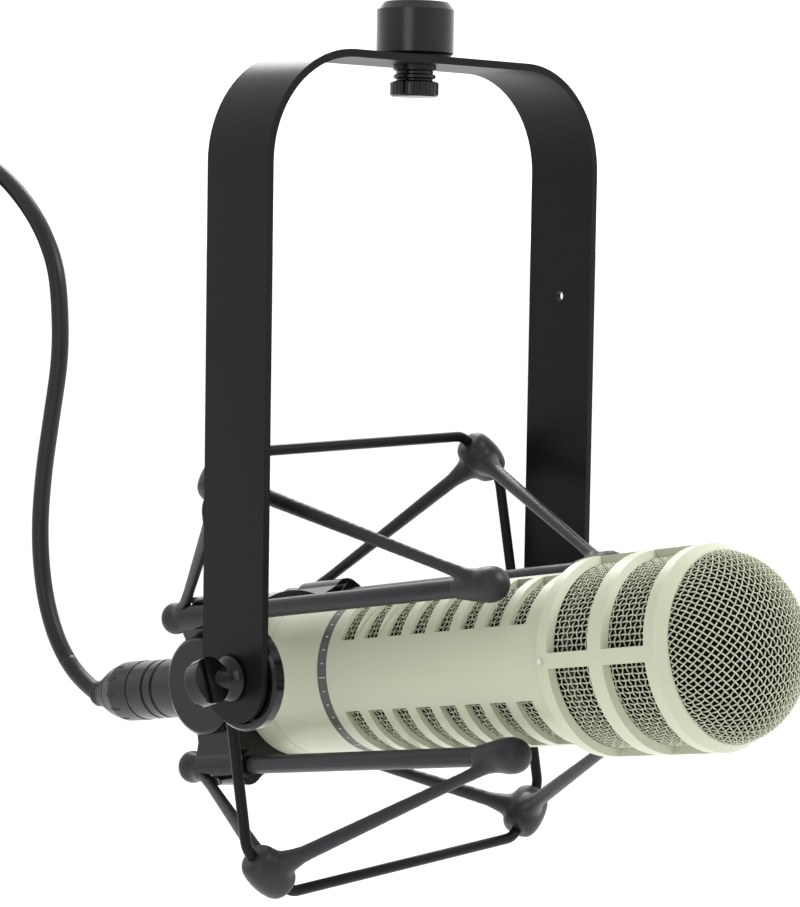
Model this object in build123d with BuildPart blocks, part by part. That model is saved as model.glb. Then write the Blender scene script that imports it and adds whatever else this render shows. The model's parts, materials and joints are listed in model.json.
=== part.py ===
"""Broadcast microphone in a yoke suspension mount, with its cable.

Millimetres. +Z up. The origin is the mouth of the stand thread, on top of the stand adapter.
The yoke hangs below it, the tilt pivots lie along X, and the microphone's front points to -Y.
"""

import os
from math import cos, pi, radians, sin, tan

from build123d import *

os.makedirs("parts", exist_ok=True)

# ---------------------------------------------------------------- driving dimensions
# Stand adapter
ADAPTER_R = 11.3
ADAPTER_H = 15.2
THREAD_R = 7.5
THREAD_DEPTH = 11.0
PAN_BORE_R = 3.05
PAN_STUD_R = 3.0
WASHER_T = 0.8

# Yoke strap
YOKE_HALF = 67.0
STRAP_W = 25.4
STRAP_T = 2.2
YOKE_BEND_R = 32.0
PIVOT_DROP = 190.4
TIE_HOLE_R = 1.5
TIE_HOLE_UP = 104.5

# Tilt pivots
PIVOT_STUD_R = 2.5
RUNNING_GAP = 0.05
CUP_R = 15.2
CUP_T = 5.0
CUP_DISH = 2.4
CUP_LIP = 2.0
CUP_GAP = 0.3

# Wire frame, on a plane square to the microphone's axis
TILT = 11.4
FRAME_BACK = 10.5
FRAME_HALF_W = 60.2
FRAME_HALF_H = 63.0
FRAME_CORNER = 14.0
FRAME_BEND_R = 7.0
WIRE_R = 1.6

# Microphone, by stations along its axis, counted forward from the pivots
MIC_DROP = 6.0
MIC_ROLL = -3.3
BODY_R = 23.8
BODY_WALL = 1.7
BODY_REAR = -77.6
HEAD_REAR = 77.5
HEAD_FRONT = 122.2
HEAD_R = 27.2
GRILLE_R = 24.9
DOME_RISE = 17.1
SLOT_FIRST = -5.1
SLOT_PITCH = 9.85
SLOT_W = 6.2
SLOT_COUNT = 8
SLOT_ARC = 49.5
COLUMN_MIDDLES = (50.5, 129.5, 230.5, 309.5)
WINDOW_REARS = (82.0, 101.2)
WINDOW_LENGTH = 14.6
WINDOW_ARC = 81.2
BAND_REAR = -13.6
BAND_W = 4.0
SOCKET_R = 9.9
SOCKET_DEPTH = 15.0

# Clamp and the four suspension rods
CLAMP_REAR = -68.0
CLAMP_FRONT = -49.0
CLAMP_R = 27.6
CLAMP_SPLIT = 0.8
ROD_X = 24.4
ROD_V = 23.2
ROD_R = 2.75
ROD_REAR = -78.2
ROD_FRONT = 64.0
LUG_R = 6.0
DISC_R = 15.0
DISC_S = -59.8
DISC_V = 2.0

# Rubber suspension
CAP_R = 5.2
CAP_REAR = (-79.6, -68.2)
CAP_FRONT = (49.0, 68.0)
GROMMET_R = 6.4
GROMMET_L = 15.0
STRAND_R = (2.8, 1.9)
SOFT_GAP = 0.3

# Cable connector and cable
XLR_R = 9.7
CABLE_R = 3.0
COIL_MEAN_R = 36.0
COIL_CENTRE = (-9.0, 262.0, -81.0)
COIL_LAYERS = 4
COIL_ROWS = 3
COIL_TURNS = 12.25
TAIL_L = 26.0

# ---------------------------------------------------------------- shared frames
TILT_COS = cos(radians(TILT))
TILT_SIN = sin(radians(TILT))
FORWARD = Vector(0, -TILT_COS, TILT_SIN)
UPWARD = Vector(0, TILT_SIN, TILT_COS)
PIVOT = Vector(0, 0, -PIVOT_DROP)
MIC_ORIGIN = PIVOT - UPWARD * MIC_DROP
FRAME_ORIGIN = PIVOT - FORWARD * FRAME_BACK
MIC_PLANE = Plane(origin=MIC_ORIGIN, x_dir=(1, 0, 0), z_dir=FORWARD)
AXIAL_PLANE = Plane(origin=MIC_ORIGIN, x_dir=FORWARD, z_dir=(-1, 0, 0))
FRAME_PLANE = Plane(origin=FRAME_ORIGIN, x_dir=(1, 0, 0), z_dir=FORWARD)
PIVOT_PLANE = Plane(origin=PIVOT, x_dir=(1, 0, 0), z_dir=(0, -1, 0))
MIC_AXIS = Axis(MIC_ORIGIN, FORWARD)
PIVOT_AXIS = Axis(PIVOT, (1, 0, 0))
SIDES = {"left": -1, "right": 1}


def mic_point(station, x=0.0, v=0.0):
    """A point by its station along the microphone and its offsets across and up."""
    return MIC_ORIGIN + FORWARD * station + Vector(x, 0, 0) + UPWARD * v


def frame_point(x, v):
    """A point on the wire frame's plane."""
    return FRAME_ORIGIN + Vector(x, 0, 0) + UPWARD * v


def save(name, piece):
    """Labels a finished piece and writes it under its node's name."""
    piece.part.label = name
    export_step(piece.part, f"parts/{name}.step")


def turned(plane, axis, outline):
    """A solid turned about an axis from a closed outline of (along, radius) points."""
    with BuildPart() as piece:
        with BuildSketch(plane):
            with BuildLine():
                Polyline(*outline, close=True)
            make_face()
        revolve(axis=axis)
    return piece


def mic_turned(outline):
    return turned(AXIAL_PLANE, MIC_AXIS, outline)


def ring_outline(rear, front, inner, outer):
    return [(rear, inner), (rear, outer), (front, outer), (front, inner)]


# ---------------------------------------------------------------- stand adapter and yoke
STRAP_TOP = -ADAPTER_H - WASHER_T
STRAP_UNDER = STRAP_TOP - STRAP_T


def stand_adapter():
    """A turned cylinder with the stand's female thread above and a tapped hole below."""
    with BuildPart() as piece:
        with BuildSketch(Plane.XZ):
            with BuildLine():
                Polyline(
                    (0, -THREAD_DEPTH), (THREAD_R, -THREAD_DEPTH), (THREAD_R, 0),
                    (ADAPTER_R - 1.6, 0), (ADAPTER_R, -2.2), (ADAPTER_R, -ADAPTER_H + 0.6),
                    (ADAPTER_R - 0.6, -ADAPTER_H), (0, -ADAPTER_H), close=True,
                )
            make_face()
        revolve(axis=Axis.Z)
        with Locations(Plane.XY.offset(-ADAPTER_H)):
            Cylinder(PAN_BORE_R, ADAPTER_H - THREAD_DEPTH, mode=Mode.SUBTRACT,
                     align=(Align.CENTER, Align.CENTER, Align.MIN))
    save("stand_adapter", piece)


def pan_washer():
    """The thin washer between the adapter and the strap."""
    with BuildPart() as piece:
        with BuildSketch(Plane.XY.offset(STRAP_TOP)):
            Circle(ADAPTER_R - 0.8)
            Circle(PAN_STUD_R + 0.2, mode=Mode.SUBTRACT)
        extrude(amount=WASHER_T)
    save("pan_washer", piece)


def pan_thumbscrew():
    """The knurled screw under the strap, which clamps the yoke to the adapter."""
    under = STRAP_UNDER
    stud_top = -THREAD_DEPTH - 0.4
    knurl_count = 26
    with BuildPart() as piece:
        with BuildSketch(Plane.XZ):
            with BuildLine():
                Polyline(
                    (0, stud_top), (PAN_STUD_R, stud_top), (PAN_STUD_R, under),
                    (6.3, under), (6.3, under - 1.3), (5.4, under - 1.7), (5.4, under - 2.4),
                    (6.2, under - 2.8), (6.2, under - 3.6), (5.3, under - 4.0),
                    (5.3, under - 4.3), (6.6, under - 4.7), (7.1, under - 5.0),
                    (7.1, under - 8.5), (6.5, under - 9.0), (0, under - 9.0), close=True,
                )
            make_face()
        revolve(axis=Axis.Z)
        with BuildSketch(Plane.XY.offset(under - 9.1)):
            with PolarLocations(7.2, knurl_count):
                Circle(0.48)
        extrude(amount=4.5, mode=Mode.SUBTRACT)
    save("pan_thumbscrew", piece)


def yoke_strap():
    """A U of flat strap with round ends, drilled for the adapter, the pivots and a cable tie."""
    bottom = -PIVOT_DROP - STRAP_W / 2
    inner = YOKE_HALF - STRAP_T
    with BuildPart() as piece:
        with BuildSketch(Plane.XZ):
            with BuildLine():
                FilletPolyline(
                    (-YOKE_HALF, bottom), (-YOKE_HALF, STRAP_TOP),
                    (YOKE_HALF, STRAP_TOP), (YOKE_HALF, bottom), radius=YOKE_BEND_R,
                )
                FilletPolyline(
                    (-inner, bottom), (-inner, STRAP_UNDER),
                    (inner, STRAP_UNDER), (inner, bottom), radius=YOKE_BEND_R - STRAP_T,
                )
                Line((-YOKE_HALF, bottom), (-inner, bottom))
                Line((YOKE_HALF, bottom), (inner, bottom))
            make_face()
        extrude(amount=STRAP_W / 2, both=True)
        with BuildSketch(Plane.YZ):
            with Locations((0, -PIVOT_DROP - STRAP_W / 4)):
                Rectangle(STRAP_W + 2, STRAP_W / 2)
            with Locations((0, -PIVOT_DROP)):
                Circle(STRAP_W / 2, mode=Mode.SUBTRACT)
        extrude(amount=YOKE_HALF + 1, both=True, mode=Mode.SUBTRACT)
        with BuildSketch(Plane.YZ):
            with Locations((0, -PIVOT_DROP)):
                Circle(PIVOT_STUD_R + RUNNING_GAP)
        extrude(amount=YOKE_HALF + 1, both=True, mode=Mode.SUBTRACT)
        with BuildSketch(Plane.YZ):
            with Locations((0, -PIVOT_DROP + TIE_HOLE_UP)):
                Circle(TIE_HOLE_R)
        extrude(amount=YOKE_HALF + 1, mode=Mode.SUBTRACT)
        with Locations(Plane.XY.offset(STRAP_TOP)):
            Hole(PAN_STUD_R + RUNNING_GAP)
    save("yoke_strap", piece)


# ---------------------------------------------------------------- tilt pivots
def tilt_knob(side_name, side):
    """A thumbscrew with a flared collar and an oval blade, through the strap into the pivot cup."""
    face = YOKE_HALF
    tip = face - STRAP_T - CUP_GAP - CUP_T + 0.6
    shank = [
        (tip, 0), (tip, PIVOT_STUD_R), (face, PIVOT_STUD_R), (face, 6.4), (face + 1.0, 6.6),
        (face + 1.6, 6.3), (face + 3.4, 4.4), (face + 6.0, 3.6), (face + 8.6, 2.4), (face + 8.6, 0),
    ]
    blade_half = 2.7
    groove_floor = 1.8
    with BuildPart() as piece:
        with BuildSketch(PIVOT_PLANE):
            with BuildLine():
                Polyline(*[(side * along, radius) for along, radius in shank], close=True)
            make_face()
        revolve(axis=PIVOT_AXIS)
        blade = Plane(origin=PIVOT + Vector(side * (face + 8.8), 0, 0), x_dir=(side, 0, 0),
                      z_dir=(0, -cos(radians(22)), sin(radians(22))))
        with BuildSketch(blade):
            Ellipse(5.6, 6.5)
        extrude(amount=blade_half, both=True)
        for way in (-1, 1):
            with BuildSketch(blade.offset(way * groove_floor)):
                with Locations((2.4, 0)):
                    Rectangle(2.0, 16)
            extrude(amount=way * (blade_half - groove_floor + 1), mode=Mode.SUBTRACT)
    save(f"tilt_knob_{side_name}", piece)


def pivot_cup(side_name, side):
    """A dished disc with a raised lip that holds the wire frame's side and takes the screw."""
    mouth = YOKE_HALF - STRAP_T - CUP_GAP
    floor = mouth - CUP_DISH
    back = mouth - CUP_T
    outline = [
        (back, PIVOT_STUD_R + RUNNING_GAP), (mouth, PIVOT_STUD_R + RUNNING_GAP), (mouth, 6.0),
        (floor, 6.6), (floor, CUP_R - CUP_LIP - 0.6), (mouth, CUP_R - CUP_LIP),
        (mouth, CUP_R - 0.8), (mouth - 0.8, CUP_R), (back + 1.4, CUP_R), (back, CUP_R - 1.4),
    ]
    with BuildPart() as piece:
        with BuildSketch(PIVOT_PLANE):
            with BuildLine():
                Polyline(*[(side * along, radius) for along, radius in outline], close=True)
            make_face()
        revolve(axis=PIVOT_AXIS)
        channel = Plane(origin=frame_point(side * FRAME_HALF_W, 0), z_dir=UPWARD)
        with Locations(channel):
            Cylinder(WIRE_R, 4 * CUP_R, mode=Mode.SUBTRACT)
    save(f"pivot_cup_{side_name}", piece)


def wire_frame():
    """One closed loop of round wire with its four corners cut at 45 degrees."""
    w, h, c = FRAME_HALF_W, FRAME_HALF_H, FRAME_CORNER
    corners = [(-w + c, h), (w - c, h), (w, h - c), (w, -h + c),
               (w - c, -h), (-w + c, -h), (-w, -h + c), (-w, h - c)]
    with BuildPart() as piece:
        with BuildLine(FRAME_PLANE) as loop:
            FilletPolyline(*corners, radius=FRAME_BEND_R, close=True)
        with BuildSketch(Plane(origin=loop.line @ 0, z_dir=loop.line % 0)):
            Circle(WIRE_R)
        sweep(path=loop.line)
    save("wire_frame", piece)


# ---------------------------------------------------------------- rubber suspension
def grommet_centre(x_side, v_side):
    half = FRAME_CORNER / 2
    return frame_point(x_side * (FRAME_HALF_W - half), v_side * (FRAME_HALF_H - half))


def strand_line(x_side, v_side, cap):
    """The start, inside the grommet, and the run of one strand to the middle of its cap."""
    inward = (Vector(-x_side, 0, 0) - UPWARD * v_side).normalized()
    start = grommet_centre(x_side, v_side) + inward * 2.0
    return start, mic_point(sum(cap) / 2, x_side * ROD_X, v_side * ROD_V) - start


def suspension_tie(name, x_side, v_side):
    """One moulded rubber V: a grommet on the wire's corner and two strands to the rod ends."""
    centre = grommet_centre(x_side, v_side)
    along_wire = Vector(x_side, 0, 0) - UPWARD * v_side
    with BuildPart() as piece:
        with Locations(Plane(origin=centre, z_dir=along_wire)):
            Cylinder(GROMMET_R, GROMMET_L)
        for cap in (CAP_REAR, CAP_FRONT):
            rear, front = cap
            start, run = strand_line(x_side, v_side, cap)
            with BuildSketch(Plane(origin=start, z_dir=run)):
                Circle(STRAND_R[0])
            with BuildSketch(Plane(origin=start + run * 0.97, z_dir=run)):
                Circle(STRAND_R[1])
            loft()
            end = mic_point(rear, x_side * ROD_X, v_side * ROD_V)
            with Locations(Plane(origin=end, x_dir=(1, 0, 0), z_dir=FORWARD)):
                Cylinder(CAP_R, front - rear, align=(Align.CENTER, Align.CENTER, Align.MIN))
        rod_rear = mic_point(ROD_REAR, x_side * ROD_X, v_side * ROD_V)
        with Locations(Plane(origin=rod_rear, x_dir=(1, 0, 0), z_dir=FORWARD)):
            Cylinder(ROD_R, ROD_FRONT - ROD_REAR, mode=Mode.SUBTRACT,
                     align=(Align.CENTER, Align.CENTER, Align.MIN))
        with Locations(Plane(origin=centre, z_dir=along_wire)):
            Cylinder(WIRE_R + SOFT_GAP, 3 * GROMMET_L, mode=Mode.SUBTRACT)
    save(name, piece)


def suspension_rod(name, x_side, v_side):
    """A straight rod through its clamp lug, with both ends in the rubber caps."""
    with BuildPart() as piece:
        start = mic_point(ROD_REAR, x_side * ROD_X, v_side * ROD_V)
        with Locations(Plane(origin=start, x_dir=(1, 0, 0), z_dir=FORWARD)):
            Cylinder(ROD_R, ROD_FRONT - ROD_REAR, align=(Align.CENTER, Align.CENTER, Align.MIN))
    save(name, piece)


def rod_collars():
    """Four glossy collars where the rods leave the clamp's lugs."""
    with BuildPart() as piece:
        for x_side in (-1, 1):
            for v_side in (-1, 1):
                at = MIC_PLANE.offset(CLAMP_FRONT)
                with BuildSketch(at):
                    with Locations((x_side * ROD_X, v_side * ROD_V)):
                        Circle(4.7)
                        Circle(ROD_R, mode=Mode.SUBTRACT)
                extrude(amount=2.4)
    save("rod_collars", piece)


# ---------------------------------------------------------------- clamp
def clamp_half(name, v_side):
    """Half of the clamp ring, with a lug for each of its two rods and a relief for each strand."""
    split = CLAMP_SPLIT / 2
    length = CLAMP_FRONT - CLAMP_REAR
    flat = CLAMP_R
    with BuildPart() as piece:
        with BuildSketch(MIC_PLANE.offset(CLAMP_REAR)):
            Circle(CLAMP_R)
            with Locations((-ROD_X, v_side * ROD_V), (ROD_X, v_side * ROD_V)):
                Circle(LUG_R)
            with BuildLine():
                Polyline((-ROD_X - LUG_R, v_side * ROD_V), (-ROD_X + 2, v_side * (ROD_V + LUG_R - 1)),
                         (0, v_side * 20), (ROD_X - 2, v_side * (ROD_V + LUG_R - 1)),
                         (ROD_X + LUG_R, v_side * ROD_V), (flat, v_side * 15.5), (flat, 0),
                         (-flat, 0), (-flat, v_side * 15.5), close=True)
            make_face()
            with Locations((0, 0)):
                Circle(BODY_R, mode=Mode.SUBTRACT)
            with Locations((0, -v_side * (CLAMP_R - split))):
                Rectangle(3 * CLAMP_R, 2 * CLAMP_R, mode=Mode.SUBTRACT)
            with Locations((-ROD_X, v_side * ROD_V), (ROD_X, v_side * ROD_V)):
                Circle(ROD_R, mode=Mode.SUBTRACT)
        extrude(amount=length)
        for x_side in (-1, 1):
            start, run = strand_line(x_side, v_side, CAP_REAR)
            with Locations(Plane(origin=start, z_dir=run)):
                Cylinder(STRAND_R[0] + SOFT_GAP, run.length, mode=Mode.SUBTRACT,
                         align=(Align.CENTER, Align.CENTER, Align.MIN))
    save(name, piece)


def clamp_disc(side_name, side):
    """The round cap that closes the clamp's split, with its rim chamfered."""
    centre = mic_point(DISC_S, 0, DISC_V)
    plane = Plane(origin=centre, x_dir=(1, 0, 0), z_dir=(0, -1, 0))
    outline = [(CLAMP_R, 0), (CLAMP_R, DISC_R - 0.5), (CLAMP_R + 0.6, DISC_R),
               (CLAMP_R + 3.4, DISC_R), (CLAMP_R + 4.0, DISC_R - 0.4), (CLAMP_R + 4.4, DISC_R - 1.2),
               (CLAMP_R + 4.4, 0)]
    flipped = [(side * along, radius) for along, radius in outline]
    save(f"clamp_disc_{side_name}", turned(plane, Axis(centre, (1, 0, 0)), flipped))


# ---------------------------------------------------------------- microphone casings
def rolled(angle):
    """An angle about the microphone's axis, counted from +X, in the body's own roll."""
    return angle + MIC_ROLL


def sector(rear, front, inner, outer, arc, middle, slope=0.0):
    """A cutter for one window of the given arc; slope widens its two ends outwards."""
    start = radians(rolled(middle) - arc / 2)
    direction = Vector(1, 0, 0) * cos(start) + UPWARD * sin(start)
    plane = Plane(origin=MIC_ORIGIN, x_dir=FORWARD, z_dir=FORWARD.cross(direction))
    with BuildPart() as cutter:
        with BuildSketch(plane):
            with BuildLine():
                Polyline((rear + slope, inner), (rear, outer), (front, outer),
                         (front - slope, inner), close=True)
            make_face()
        revolve(axis=MIC_AXIS, revolution_arc=arc)
    return cutter.part


def body_tube():
    """The long casing, with columns of vent slots and a groove for the name band."""
    inner = BODY_R - BODY_WALL
    front = HEAD_REAR + 6
    outline = [
        (BODY_REAR, inner), (BODY_REAR, BODY_R - 0.8), (BODY_REAR + 0.8, BODY_R),
        (-38.6, BODY_R), (-38.4, BODY_R - 0.35), (-38.0, BODY_R - 0.35), (-37.8, BODY_R),
        (BAND_REAR, BODY_R), (BAND_REAR, BODY_R - 0.6),
        (BAND_REAR + BAND_W, BODY_R - 0.6), (BAND_REAR + BAND_W, BODY_R), (front, BODY_R),
        (front, inner),
    ]
    with BuildPart() as piece:
        with BuildSketch(AXIAL_PLANE):
            with BuildLine():
                Polyline(*outline, close=True)
            make_face()
        revolve(axis=MIC_AXIS)
        for middle in COLUMN_MIDDLES:
            for slot in range(SLOT_COUNT):
                rear = SLOT_FIRST + slot * SLOT_PITCH
                add(sector(rear, rear + SLOT_W, inner - 2, BODY_R + 2, SLOT_ARC, middle),
                    mode=Mode.SUBTRACT)
    save("body_tube", piece)


def head_shell():
    """The wider head casing with two rows of windows and the front ring."""
    inner = HEAD_R - 2.2
    outline = [
        (HEAD_REAR, BODY_R + 0.05), (HEAD_REAR, HEAD_R - 1.0), (HEAD_REAR + 1.0, HEAD_R),
        (HEAD_FRONT - 3.2, HEAD_R), (HEAD_FRONT - 0.5, HEAD_R - 1.5), (HEAD_FRONT, HEAD_R - 1.9),
        (HEAD_FRONT, GRILLE_R), (HEAD_FRONT - 1.4, GRILLE_R), (HEAD_FRONT - 1.4, inner),
        (HEAD_REAR + 4.2, inner), (HEAD_REAR + 4.2, BODY_R + 0.05),
    ]
    with BuildPart() as piece:
        with BuildSketch(AXIAL_PLANE):
            with BuildLine():
                Polyline(*outline, close=True)
            make_face()
        revolve(axis=MIC_AXIS)
        for rear in WINDOW_REARS:
            for window in range(4):
                add(sector(rear, rear + WINDOW_LENGTH, inner - 1, HEAD_R + 0.2,
                           WINDOW_ARC, 45 + 90 * window, 1.1), mode=Mode.SUBTRACT)
    save("head_shell", piece)


def dome(name, edge_r, edge_s, rise, thickness):
    """A deep dome, half an ellipse in section, over the front of the head."""
    with BuildPart() as piece:
        with BuildSketch(AXIAL_PLANE):
            with BuildLine():
                EllipticalCenterArc((edge_s, 0), rise, edge_r, arc_size=90)
                Line((edge_s, edge_r), (edge_s, edge_r - thickness))
                EllipticalCenterArc((edge_s, 0), rise - thickness, edge_r - thickness, arc_size=90)
                Line((edge_s + rise - thickness, 0), (edge_s + rise, 0))
            make_face()
        revolve(axis=MIC_AXIS)
    save(name, piece)


def pop_foam():
    """The foam plug behind the front grille, rounded to follow it."""
    front = HEAD_FRONT - 1.4
    rise, radius = DOME_RISE - 0.6, GRILLE_R - 1.5
    steps = [(front + rise * sin(radians(turn)), radius * cos(radians(turn))) for turn in (20, 38, 55, 72)]
    save("pop_foam", mic_turned([(108, 0), (108, radius), (front, radius), *steps, (front + rise, 0)]))


def casing_rings():
    """The turned rings, liners and caps of the microphone's casing."""
    inner = BODY_R - BODY_WALL
    save("name_band", mic_turned(ring_outline(BAND_REAR, BAND_REAR + BAND_W, BODY_R - 0.6, BODY_R - 0.15)))
    save("body_mesh", mic_turned(ring_outline(-9.0, 76.0, inner - 0.6, inner)))
    save("head_mesh", mic_turned(ring_outline(HEAD_REAR + 4.2, HEAD_FRONT - 1.4, HEAD_R - 2.8, HEAD_R - 2.2)))
    save("body_foam", mic_turned(ring_outline(-9.0, 76.0, inner - 3.0, inner - 0.6)))
    save("rear_cap", mic_turned([
        (BODY_REAR, SOCKET_R), (BODY_REAR, inner - 0.8), (BODY_REAR + 0.5, inner),
        (BODY_REAR + 6, inner), (BODY_REAR + 6, SOCKET_R + 2.5),
        (BODY_REAR + SOCKET_DEPTH + 2, SOCKET_R + 2.5), (BODY_REAR + SOCKET_DEPTH + 2, SOCKET_R),
    ]))


def head_screws():
    """Three small set screws in the head's rear rim."""
    with BuildPart() as piece:
        for angle in (180, 300, 60):
            turn = radians(rolled(angle))
            outward = Vector(1, 0, 0) * cos(turn) + UPWARD * sin(turn)
            at = MIC_ORIGIN + FORWARD * (HEAD_REAR + 2.1) + outward * (HEAD_R - 0.25)
            with Locations(Plane(origin=at, z_dir=outward)):
                Cylinder(0.9, 0.6, align=(Align.CENTER, Align.CENTER, Align.MIN))
    save("head_screws", piece)


# ---------------------------------------------------------------- inside the microphone
def inner_parts():
    """The transducer, its acoustic tube and the transformer."""
    save("capsule_housing", mic_turned([
        (84, 16), (84, 19.5), (103, 19.5), (103, 17.5), (86, 17.5), (86, 16),
    ]))
    save("diaphragm", mic_turned([(103, 0), (103, 19.0), (103.5, 19.0), (103.5, 12), (106, 0)]))
    save("voice_coil", mic_turned(ring_outline(97, 103, 11.2, 11.9)))
    save("pole_piece", mic_turned(ring_outline(95.0, 101.5, 0, 11.0)))
    save("magnet", mic_turned(ring_outline(86.5, 95.0, 0, 10.4)))
    save("magnet_pot", mic_turned([(84, 0), (84, 15.8), (101.5, 15.8), (101.5, 12.1), (98.5, 12.1),
                                   (98.5, 14), (86.5, 14), (86.5, 0)]))
    save("acoustic_tube", mic_turned(ring_outline(-6.0, 82.0, 7.0, 8.2)))
    save("hum_coil", mic_turned(ring_outline(68.0, 76.0, 8.4, 14.0)))
    save("transformer", mic_turned(ring_outline(-40.0, -18.0, 0, 14.0)))
    save("transformer_cup", mic_turned([(-42, 0), (-42, 16.0), (-16, 16.0), (-16, 0), (-18, 0), (-18, 14.0),
                                        (-40, 14.0), (-40, 0)]))


def shock_rings():
    """The two rubber rings that hold the transducer in the head."""
    with BuildPart() as piece:
        for station in (84.5, 98.5):
            with BuildSketch(MIC_PLANE.offset(station)):
                Circle(HEAD_R - 2.9)
                Circle(19.5, mode=Mode.SUBTRACT)
            extrude(amount=3.5)
    save("shock_rings", piece)


def filter_board():
    """The bass filter's board, on edge ahead of the output socket."""
    with BuildPart() as piece:
        with BuildSketch(MIC_PLANE.offset(-52)):
            Circle(20)
            Circle(4, mode=Mode.SUBTRACT)
        extrude(amount=1.6)
        with BuildSketch(MIC_PLANE.offset(-50.4)):
            with Locations((-10, 6), (9, -9), (11, 7), (-9, -10)):
                Rectangle(5, 7)
        extrude(amount=4.5)
    save("filter_board", piece)


def socket_parts():
    """The male output socket's insert and its three pins."""
    floor = BODY_REAR + SOCKET_DEPTH
    save("socket_insert", mic_turned(ring_outline(floor, floor + 6, 0, SOCKET_R)))
    with BuildPart() as piece:
        with BuildSketch(MIC_PLANE.offset(floor)):
            with PolarLocations(3.7, 3, start_angle=30):
                Circle(1.2)
        extrude(amount=-12)
    save("socket_pins", piece)


def bass_switch():
    """A slide switch under the body: a plate with a window and the slider in it."""
    depth = -BODY_R
    with BuildPart() as plate:
        with BuildSketch(Plane(origin=mic_point(-27, 0, depth - 0.6), x_dir=FORWARD, z_dir=UPWARD)):
            RectangleRounded(15, 6, 1.4)
            Rectangle(9, 2.8, mode=Mode.SUBTRACT)
        extrude(amount=1.2)
        with Locations(Plane(origin=mic_point(-42), x_dir=(1, 0, 0), z_dir=FORWARD)):
            Cylinder(BODY_R, 40, mode=Mode.SUBTRACT, align=(Align.CENTER, Align.CENTER, Align.MIN))
    save("bass_switch_plate", plate)
    with BuildPart() as slider:
        with BuildSketch(Plane(origin=mic_point(-29, 0, depth - 1.1), x_dir=FORWARD, z_dir=UPWARD)):
            Rectangle(4.2, 2.5)
        extrude(amount=1.0)
        with BuildSketch(Plane(origin=mic_point(-29, 0, depth - 1.2), x_dir=FORWARD, z_dir=UPWARD)):
            with GridLocations(1.2, 0, 3, 1):
                Rectangle(0.4, 2.6)
        extrude(amount=0.4, mode=Mode.SUBTRACT)
    save("bass_switch_slider", slider)


# ---------------------------------------------------------------- cable connectors
SHELL_FRONT = BODY_REAR + SOCKET_DEPTH - 1.0
SHELL_REAR = -126.5
BOOT_REAR = -154.5
BOOT_L = 13.5
BUSHING_L = 14.5
PLUG_SHELL_L = 42.0
PIN_CIRCLE_R = 3.7
LATCH_S = -95.0
TAIL_START = Vector(*COIL_CENTRE) + Vector(
    -(COIL_LAYERS - 1) * CABLE_R, COIL_MEAN_R + (COIL_ROWS - 1) * CABLE_R, 0)


def lengthwise(origin, direction):
    """A sketch plane with x along a connector from its cable end, and the axis to turn about."""
    x_dir = Vector(*direction)
    across = Vector(1, 0, 0)
    return Plane(origin=origin, x_dir=x_dir, z_dir=across), Axis(origin, x_dir)


def connector_bushing(name, plane, axis):
    """The ribbed plastic bushing that screws into a connector's shell."""
    rear, front = BOOT_L, BOOT_L + BUSHING_L
    with BuildPart() as piece:
        with BuildSketch(plane):
            with BuildLine():
                Polyline((rear, 3.2), (rear, 8.6), (rear + 5, 9.9), (front, 9.9), (front, 3.2),
                         close=True)
            make_face()
        revolve(axis=axis)
        start = Plane(origin=axis.position, x_dir=(1, 0, 0), z_dir=axis.direction)
        with BuildSketch(start.offset(rear - 1)):
            with PolarLocations(10.0, 12):
                Circle(0.6)
        extrude(amount=10, mode=Mode.SUBTRACT)
    save(name, piece)


def connector_boot(name, plane, axis, bore):
    """The tapered rubber strain relief, with five rings."""
    outline = [(BOOT_L, bore), (BOOT_L, 8.4)]
    for ring in range(5):
        front = BOOT_L - 0.6 - ring * 2.2
        radius = 8.4 - ring * 0.95
        outline += [(front, radius), (front, radius - 0.7), (front - 0.7, radius - 0.8),
                    (front - 0.7, radius - 0.4)]
    outline += [(0.8, 4.4), (0, 4.0), (0, bore)]
    save(name, turned(plane, axis, outline))


def microphone_connector():
    """The female cable connector in the microphone's socket."""
    plane, axis = lengthwise(mic_point(BOOT_REAR), FORWARD)
    connector_boot("connector_boot", plane, axis, CABLE_R + 0.5)
    connector_bushing("connector_bushing", plane, axis)
    outline = [(SHELL_FRONT, 8.4), (SHELL_FRONT, 9.5), (BODY_REAR - 2, 9.5), (BODY_REAR - 3, XLR_R)]
    for groove in (-112.0, -117.0):
        outline += [(groove, XLR_R), (groove - 0.3, XLR_R - 0.5), (groove - 1.3, XLR_R - 0.5),
                    (groove - 1.6, XLR_R)]
    outline += [(SHELL_REAR, XLR_R), (SHELL_REAR, 8.4)]
    with BuildPart() as shell:
        with BuildSketch(AXIAL_PLANE):
            with BuildLine():
                Polyline(*outline, close=True)
            make_face()
        revolve(axis=MIC_AXIS)
        with BuildSketch(Plane(origin=mic_point(LATCH_S), x_dir=FORWARD, z_dir=UPWARD)):
            RectangleRounded(9.6, 5.6, 1.5)
        extrude(amount=2 * XLR_R, mode=Mode.SUBTRACT)
    save("connector_shell", shell)
    insert_length = 23.0
    with BuildPart() as insert:
        with BuildSketch(MIC_PLANE.offset(SHELL_FRONT)):
            Circle(8.4)
        extrude(amount=-insert_length)
        with BuildSketch(MIC_PLANE.offset(SHELL_FRONT)):
            with PolarLocations(PIN_CIRCLE_R, 3, start_angle=30):
                Circle(1.4)
        extrude(amount=-14, mode=Mode.SUBTRACT)
    save("connector_insert", insert)


def latch_button():
    """The connector's release button, on top of its shell."""
    with BuildPart() as piece:
        with BuildSketch(Plane(origin=mic_point(LATCH_S, 0, 9.3), x_dir=FORWARD, z_dir=UPWARD)):
            RectangleRounded(9, 5, 1.2)
        extrude(amount=1.6)
    save("latch_button", piece)


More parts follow.
